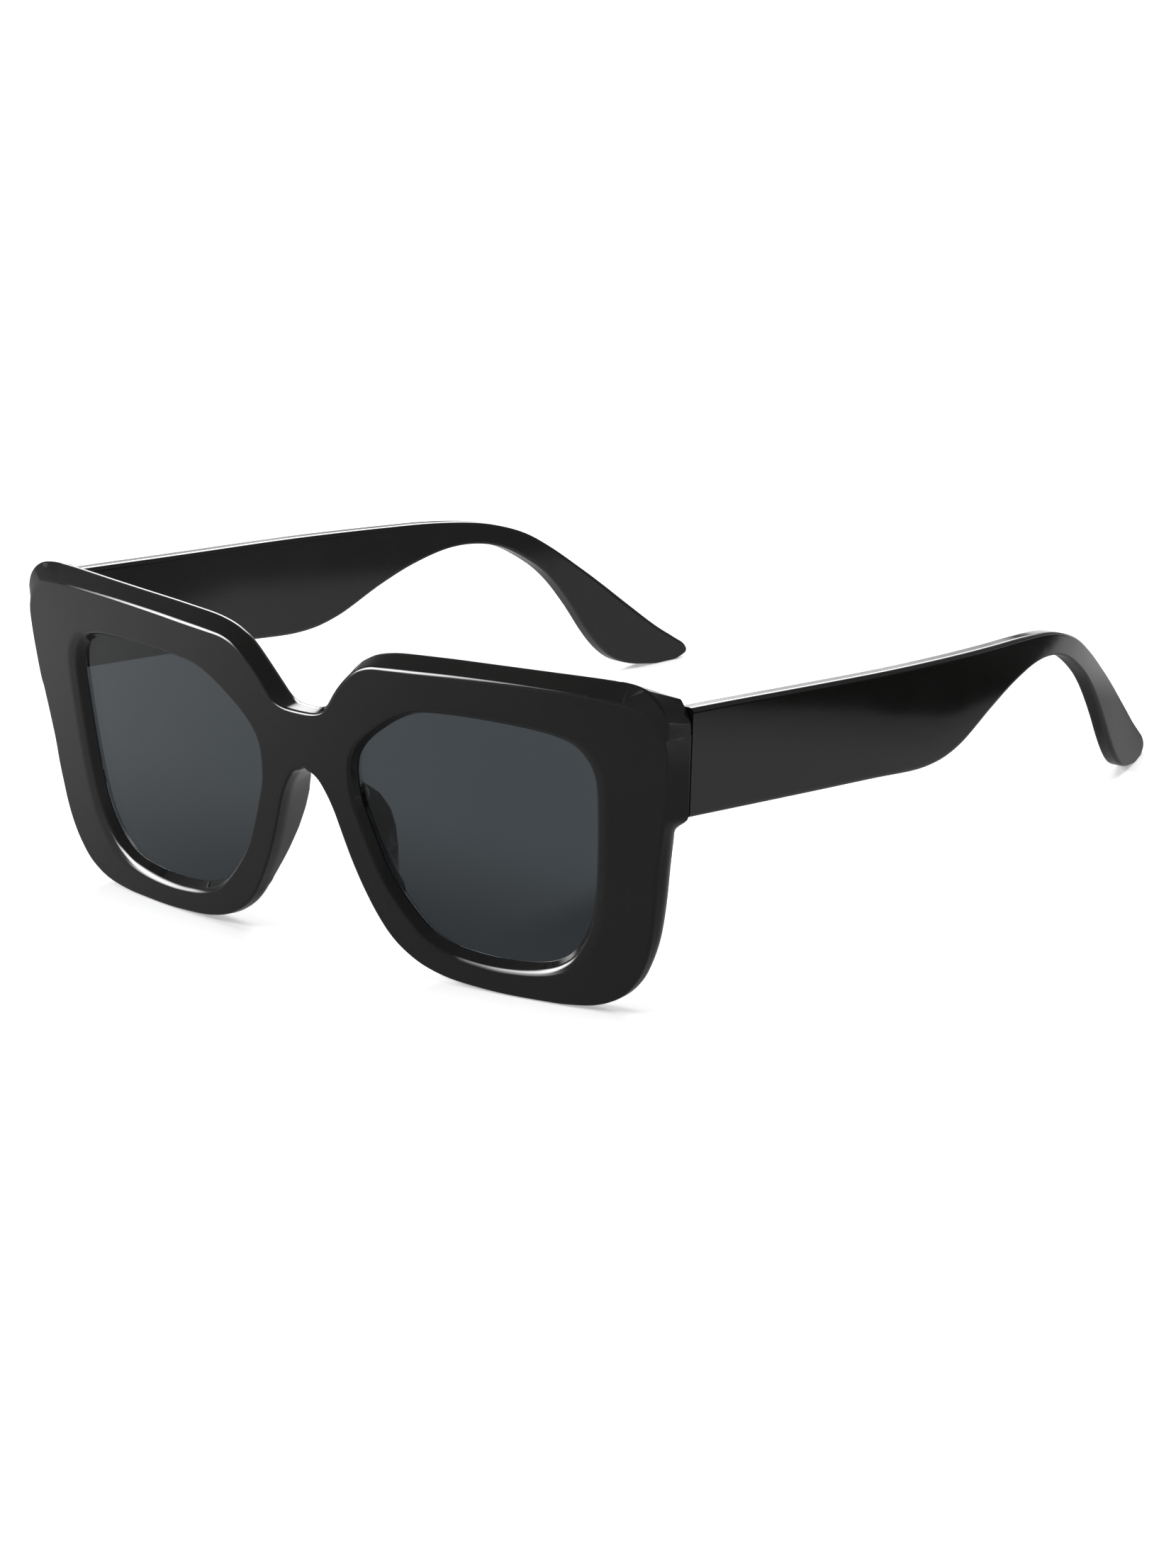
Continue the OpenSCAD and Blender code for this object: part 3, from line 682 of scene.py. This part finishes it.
# near the middle the rounded edges run straight up or down, so that the mirrored halves meet
besideWidth = 4
beside = smoothStep(x, 0, besideWidth)[:, None]
upOrDown = np.where(z > front["notchFrom"], -1.0, 1.0)
straight = np.column_stack([np.zeros(len(x)), upOrDown, np.zeros(len(x))])
backWays, aheadWays = {nBack: sideCorner - backCorner}, {nSide: backCorner - sideCorner}
for ways, i, j in ((backWays, nRidge, nRidge - 1), (aheadWays, nBack, nBack + 1)):
    way = corners[j] - corners[i]
    ways[i] = (straight + (way / lengths(way) - straight) * beside) * lengths(way)
sectionRings = filletRings(corners, radii, steps, backWays, aheadWays)
frontPiece = loftPiece("moulded_front", [wrapped(ring) for ring in sectionRings], closed=True)

# the faces in the mirror plane come out, then the other half is mirrored on
pickOnly(frontPiece)
bpy.ops.object.mode_set(mode="EDIT")
bpy.ops.mesh.select_mode(type="FACE")
mesh = bmesh.from_edit_mesh(frontPiece.data)
for face in mesh.faces:
    face.select = all(abs(v.co.x) < weldDistance for v in face.verts)
bmesh.update_edit_mesh(frontPiece.data)
bpy.ops.mesh.delete(type="FACE")
bpy.ops.mesh.select_mode(type="VERT")
bpy.ops.object.mode_set(mode="OBJECT")
applyModifier(frontPiece, "MIRROR", use_axis=(True, False, False), merge_threshold=5 * weldDistance)
closeAndTurnOut(frontPiece)

# pockets for the hinges, cut behind both corners
pocket = front["pocket"]
for side in (-1, 1):
    clearSelection()
    middle = [side * sum(pocket["x"]) / 2, sum(pocket["y"]) / 2 + backShift, sum(pocket["z"]) / 2]
    bpy.ops.mesh.primitive_cube_add(size=1, location=[v * mm for v in middle],
                                    scale=[(pocket[k][1] - pocket[k][0]) * mm for k in "xyz"])
    cutter = bpy.context.object
    applyModifier(frontPiece, "BOOLEAN", operation="DIFFERENCE", solver="EXACT", object=cutter)
    bpy.data.objects.remove(cutter)
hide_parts("front_frame")
finishPiece(frontPiece, "front", blackPlastic)
print("front modelled,", len(frontPiece.data.polygons), "faces")


# Lenses: a curved sheet grown from its rim inward, one for each side
lens = {"depth": 1.8, "thickness": 1.6, "centre": (34.5, 26.5), "inGroove": 0.6,
        "stations": 160, "rings": 12, "smallestRing": 0.06}
lensCentre = np.array(lens["centre"])
rim = alongLoop(windowLine, np.linspace(0, -2 * math.pi, lens["stations"], endpoint=False))
rim = rim + (rim - lensCentre) / lengths(rim - lensCentre) * lens["inGroove"]
shrink = [math.cos(math.pi / 2 * k / lens["rings"]) for k in range(lens["rings"])]
shrink[-1] = lens["smallestRing"]
lensRings = [withDepth(lensCentre + (rim - lensCentre) * s, lens["depth"] + lens["thickness"])
             for s in shrink[::-1]]
lensRings += [withDepth(lensCentre + (rim - lensCentre) * s, lens["depth"]) for s in shrink]
for side, name in ((1, "left"), (-1, "right")):
    rings = [wrapped(ring) * [side, 1, 1] for ring in lensRings]
    piece = loftPiece(name + "_smoke_lens", rings, closed=False)
    closeAndTurnOut(piece)
    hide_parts(name + "_lens")
    finishPiece(piece, "front", smokeLens)
print("lenses modelled")


# Temples: pairs of points on the top and the underside, from the joint back to the tip, in
# shares of the temple's reach and of its top height
temple = {"reach": 136.8, "top": 50.8, "thickness": 3.2, "straightTo": 54, "bendRadius": 240,
          "edgeRound": 0.85, "tipRound": 1.1, "jointGap": 0.06, "clearOfJoint": 0.6, "perGap": 9}
topShares = [
    (-0.032, 1.017), (0.08, 0.969), (0.202, 0.915), (0.31, 0.868), (0.421, 0.821), (0.5, 0.787),
    (0.567, 0.758), (0.633, 0.729), (0.692, 0.695), (0.735, 0.657), (0.776, 0.602), (0.812, 0.526),
    (0.849, 0.432), (0.883, 0.341), (0.918, 0.241), (0.951, 0.147), (0.975, 0.088), (0.989, 0.052),
    (0.991, 0.022), (0.976, 0.003),
]
undersideShares = [
    (-0.032, 0.672), (0.08, 0.623), (0.202, 0.570), (0.31, 0.524), (0.405, 0.482), (0.47, 0.492),
    (0.545, 0.556), (0.6, 0.596), (0.655, 0.618), (0.702, 0.607), (0.744, 0.564), (0.785, 0.48),
    (0.811, 0.4), (0.834, 0.296), (0.855, 0.181), (0.872, 0.105), (0.89, 0.052), (0.91, 0.022),
    (0.933, 0.006), (0.945, 0.002),
]


def templeLine(shares):
    points = [(joint["y"] + s * temple["reach"], t * temple["top"]) for s, t in shares]
    line = smoothThrough(points, temple["perGap"])
    line[:, 1] = np.maximum(line[:, 1], 0)
    return line


def templeStart(height):
    return jointFace(height) + temple["jointGap"]


def onJoint(line):
    # where the line's own direction meets the tilted joint face
    run = line[3] - line[0]
    short = templeStart(line[0, 1]) - line[0, 0]
    height = line[0, 1] + run[1] * short / (run[0] - joint["tilt"] * run[1])
    return np.array([templeStart(height), height])


# both lines start on the joint face
topLine, underLine = templeLine(topShares), templeLine(undersideShares)
keep = topLine[:, 0] > templeStart(topLine[:, 1]) + temple["clearOfJoint"]
topLine, underLine = topLine[keep], underLine[keep]
topLine = np.vstack([onJoint(topLine), topLine])
underLine = np.vstack([onJoint(underLine), underLine])


def outerFace(y):
    bend = np.maximum(y - temple["straightTo"], 0)
    radius = temple["bendRadius"]
    return joint["outerX"] - radius + np.sqrt(radius ** 2 - bend ** 2)


def templeRings(top, under):
    span = under - top
    height = np.linalg.norm(span, axis=1)
    # the temple thins where it ends in a round tip
    past = 1 - np.minimum(height / (2 * temple["tipRound"]), 1)
    inset = temple["tipRound"] * (1 - np.sqrt(np.maximum(1 - past ** 2, 0)))
    innerInset = temple["thickness"] - inset
    # section corners as distance down from the top and distance in from the outer face
    stops = (0, 0.25, 0.5, 0.75, 1)
    flat = [(height * stop, inset) for stop in stops] + [(height * stop, innerInset) for stop in stops[::-1]]
    sectionCorners = [np.stack([down, across, np.zeros(len(top))], axis=1) for down, across in flat]
    r = temple["edgeRound"]
    rings = []
    for ring in filletRings(sectionCorners, [r, 0, 0, 0, r] * 2, [4, 0, 0, 0, 4] * 2):
        share = ring[:, 0] / np.maximum(height, 1e-6)
        place = top + span * share[:, None]
        across = outerFace(place[:, 0]) - ring[:, 1]
        rings.append(np.stack([across, place[:, 0] + backShift, place[:, 1]], axis=1) * mm)
    # from rings along the temple to rings across it
    return np.array(rings).transpose(1, 0, 2)


for side, name in ((1, "left"), (-1, "right")):
    rings = [ring * [side, 1, 1] for ring in templeRings(topLine, underLine)]
    piece = loftPiece(name + "_arm_moulding", rings, closed=False)
    closeAndTurnOut(piece)
    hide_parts(name + "_temple")
    finishPiece(piece, name + "_arm", blackPlastic)
print("temples modelled")


# The steel parts keep their solids
steelParts = {
    "front_hinge_leaf": hingeSteel, "temple_hinge_leaf": hingeSteel, "hinge_screw": screwSteel,
    "front_leaf_screws": screwSteel, "temple_leaf_screws": screwSteel,
}
for side in ("left", "right"):
    for part, material in steelParts.items():
        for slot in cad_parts[side + "_" + part].material_slots:
            slot.material = material


# Floor and light
def startEmpty(owner):
    owner.use_nodes = True
    owner.node_tree.nodes.clear()
    return owner.node_tree


# The table's own tone, and the glow that makes it white to the camera
tableTone, tableGlow = (0.8, 0.8, 0.8, 1), 0.4
# Painted reflection: how bright the table is painted in reflections; distances across it, and the levels
# before and after
tableMirror = {
    "front": (-0.205, 0.0, 0.6, 0.29), "frontToBack": (-0.06, -0.01, 0.0, 1.0),
    "backDepth": (0.1, 0.13, 0.5, 0.95), "backWidth": (0.014, 0.028, 1.3, 0.42),
    "hookDepth": (0.1, 0.13, 0.52, 1.4), "hookWidth": (0.045, 0.062, 0.0, 1.0),
    # painted dark reflection toward the back right, past a slightly bowed and uneven line
    "edge": (0.1365, 0.139, 1.0, 0.06), "paintedDarkShade": (0.11, 0.138, 1.0, 0.62),
    "darkLineBow": 5.2, "darkLineWobble": 0.012, "wobbleScale": 45,
}


def makeFloorMaterial():
    material = bpy.data.materials.new("Pale table")
    tree = startEmpty(material)
    place = addNode(tree, "ShaderNodeTexCoord").outputs["Object"]

    def along(direction, shift=0.0):
        dot = addNode(tree, "ShaderNodeVectorMath", {1: direction}, operation="DOT_PRODUCT")
        moved = addNode(tree, "ShaderNodeMath", {1: shift}, operation="SUBTRACT")
        linkUp(tree, (place, dot.inputs[0]), (dot.outputs["Value"], moved.inputs[0]))
        return moved.outputs[0]

    def combine(operation, a, b):
        node = addNode(tree, "ShaderNodeMath", operation=operation)
        for socket, value in zip(node.inputs, (a, b)):
            if isinstance(value, (int, float)):
                socket.default_value = value
            else:
                tree.links.new(value, socket)
        return node.outputs[0]

    def levelOf(name, value):
        return addRamp(tree, value, *tableMirror[name])

    # painted reflection: in reflections the table is painted bright at the left, falls off to the front and
    # right, and is painted dark past a line at the back right
    toRight, toBack = along((1, 0, 0)), along((0, 1, 0))
    behind = combine("MULTIPLY", levelOf("backDepth", toBack), levelOf("backWidth", toRight))
    hook = combine("MULTIPLY", levelOf("hookDepth", toBack), levelOf("hookWidth", toRight))
    behind = combine("MAXIMUM", behind, hook)
    wobble = addNode(tree, "ShaderNodeTexNoise", {"Scale": tableMirror["wobbleScale"]})
    tree.links.new(place, wobble.inputs["Vector"])
    sideways = along((0.69, -0.72, 0), 0.015)
    bow = combine("MULTIPLY", combine("MULTIPLY", sideways, sideways), tableMirror["darkLineBow"])
    uneven = combine("ADD", bow, combine("MULTIPLY", wobble.outputs[0], tableMirror["darkLineWobble"]))
    # painted dark reflection: the table's reflection is darkened past this bowed, uneven line
    toPaintedDark = combine("SUBTRACT", along((0.72, 0.69, 0)), uneven)
    lit = combine("MULTIPLY", levelOf("edge", toPaintedDark), levelOf("paintedDarkShade", toPaintedDark))
    behind = combine("MULTIPLY", behind, lit)
    back = levelOf("frontToBack", toBack)
    inFront = combine("MULTIPLY", levelOf("front", toRight), combine("SUBTRACT", 1.0, back))
    mirrored = addNode(tree, "ShaderNodeEmission")
    tree.links.new(combine("ADD", inFront, combine("MULTIPLY", behind, back)), mirrored.inputs["Strength"])

    # to the camera, also through a lens, it is white with soft shadows
    path = addNode(tree, "ShaderNodeLightPath")
    seen = combine("MAXIMUM", path.outputs["Is Camera Ray"], path.outputs["Is Transmission Ray"])
    matte = addNode(tree, "ShaderNodeBsdfDiffuse", {"Color": tableTone})
    glow = addNode(tree, "ShaderNodeEmission")
    both = addNode(tree, "ShaderNodeAddShader")
    choice = addNode(tree, "ShaderNodeMixShader")
    output = addNode(tree, "ShaderNodeOutputMaterial")
    linkUp(tree, (combine("MULTIPLY", seen, tableGlow), glow.inputs["Strength"]),
           (matte.outputs[0], both.inputs[0]), (glow.outputs[0], both.inputs[1]),
           (path.outputs["Is Glossy Ray"], choice.inputs[0]), (both.outputs[0], choice.inputs[1]),
           (mirrored.outputs[0], choice.inputs[2]), (choice.outputs[0], output.inputs["Surface"]))
    return material


clearSelection()
bpy.ops.mesh.primitive_circle_add(vertices=96, radius=3, fill_type="NGON", location=(0, 0, 0))
floor = bpy.context.object
floor.name = "table"
floor.data.materials.append(makeFloorMaterial())


# Where the room grows dark, how far up that begins and ends, and its levels there
roomShade = {"toward": (0.15, 0, 1), "fade": (0.15, 0.75, 0.6, 0.3), "tone": (0.5, 0.5, 0.5, 1)}


def makeRoom():
    # a grey room that is darker above, and a white backdrop where the camera sees it
    world = bpy.data.worlds.new("Studio")
    tree = startEmpty(world)
    way = addNode(tree, "ShaderNodeTexCoord")
    toDark = addNode(tree, "ShaderNodeVectorMath", {1: roomShade["toward"]}, operation="DOT_PRODUCT")
    shade = addRamp(tree, toDark.outputs["Value"], *roomShade["fade"])
    room = addNode(tree, "ShaderNodeBackground", {"Color": roomShade["tone"]})
    backdrop = addNode(tree, "ShaderNodeBackground", {"Color": (1, 1, 1, 1), "Strength": 1})
    path = addNode(tree, "ShaderNodeLightPath")
    seen = addNode(tree, "ShaderNodeMath", operation="MAXIMUM")
    blend = addNode(tree, "ShaderNodeMixShader")
    output = addNode(tree, "ShaderNodeOutputWorld")
    linkUp(tree, (way.outputs["Generated"], toDark.inputs[0]), (shade, room.inputs["Strength"]),
           (path.outputs["Is Camera Ray"], seen.inputs[0]),
           (path.outputs["Is Transmission Ray"], seen.inputs[1]), (seen.outputs[0], blend.inputs[0]),
           (room.outputs[0], blend.inputs[1]), (backdrop.outputs[0], blend.inputs[2]),
           (blend.outputs[0], output.inputs["Surface"]))
    return world


scene.world = makeRoom()


def placeToward(aim, distance):
    # a place that far out in a direction, turned to face the glasses
    direction = Vector(aim).normalized()
    return direction * distance, direction.to_track_quat("Z", "Y").to_euler()


def addSoftbox(name, aim, distance, width, height, power):
    clearSelection()
    place, turned = placeToward(aim, distance)
    bpy.ops.object.light_add(type="AREA", location=place)
    lamp = bpy.context.object
    lamp.name = name
    lamp.rotation_euler = turned
    lamp.data.shape = "RECTANGLE"
    lamp.data.size = width
    lamp.data.size_y = height
    lamp.data.energy = power
    lamp.visible_glossy = False


def addGlowCard(name, aim, distance, width, height, strength):
    # what polished plastic mirrors of a softbox: bright in the middle and soft toward its edges
    clearSelection()
    place, turned = placeToward(aim, distance)
    bpy.ops.mesh.primitive_plane_add(size=1, location=place, rotation=turned, scale=(width, height, 1))
    card = bpy.context.object
    card.name = name
    material = bpy.data.materials.new(name)
    tree = startEmpty(material)
    place = addNode(tree, "ShaderNodeTexCoord")
    parts = addNode(tree, "ShaderNodeSeparateXYZ")
    product = addNode(tree, "ShaderNodeMath", operation="MULTIPLY")
    scaled = addNode(tree, "ShaderNodeMath", {1: strength}, operation="MULTIPLY")
    glow = addNode(tree, "ShaderNodeEmission")
    output = addNode(tree, "ShaderNodeOutputMaterial")
    # distances from the card's middle, in shares of it, and the levels before and after
    cardFade = (0.12, 0.5, 1, 0)
    for i, axis in enumerate("XY"):
        offset = addNode(tree, "ShaderNodeMath", {1: 0.5}, operation="SUBTRACT")
        size = addNode(tree, "ShaderNodeMath", operation="ABSOLUTE")
        fall = addRamp(tree, size.outputs[0], *cardFade)
        linkUp(tree, (parts.outputs[axis], offset.inputs[0]), (offset.outputs[0], size.inputs[0]),
               (fall, product.inputs[i]))
    linkUp(tree, (place.outputs["UV"], parts.inputs[0]), (product.outputs[0], scaled.inputs[0]),
           (scaled.outputs[0], glow.inputs["Strength"]), (glow.outputs[0], output.inputs["Surface"]))
    card.data.materials.append(material)
    for kind in ("camera", "diffuse", "transmission", "volume_scatter", "shadow"):
        setattr(card, "visible_" + kind, False)


addSoftbox("left front softbox", (-0.61, -0.59, 0.53), 1.2, width=0.45, height=0.3, power=9)
addSoftbox("left back softbox", (-0.66, 0.55, 0.5), 1.2, width=0.45, height=0.3, power=9)
addSoftbox("overhead softbox", (0.15, 0.1, 1.0), 1.3, width=0.8, height=0.8, power=12)
addGlowCard("left front glow", (-0.67, -0.63, 0.35), 1.2, width=0.8, height=0.3, strength=22)
addGlowCard("left back glow", (-0.6, 0.68, 0.42), 1.2, width=0.9, height=1.0, strength=8)
scene.view_settings.view_transform = "Standard"
print("floor and light set")
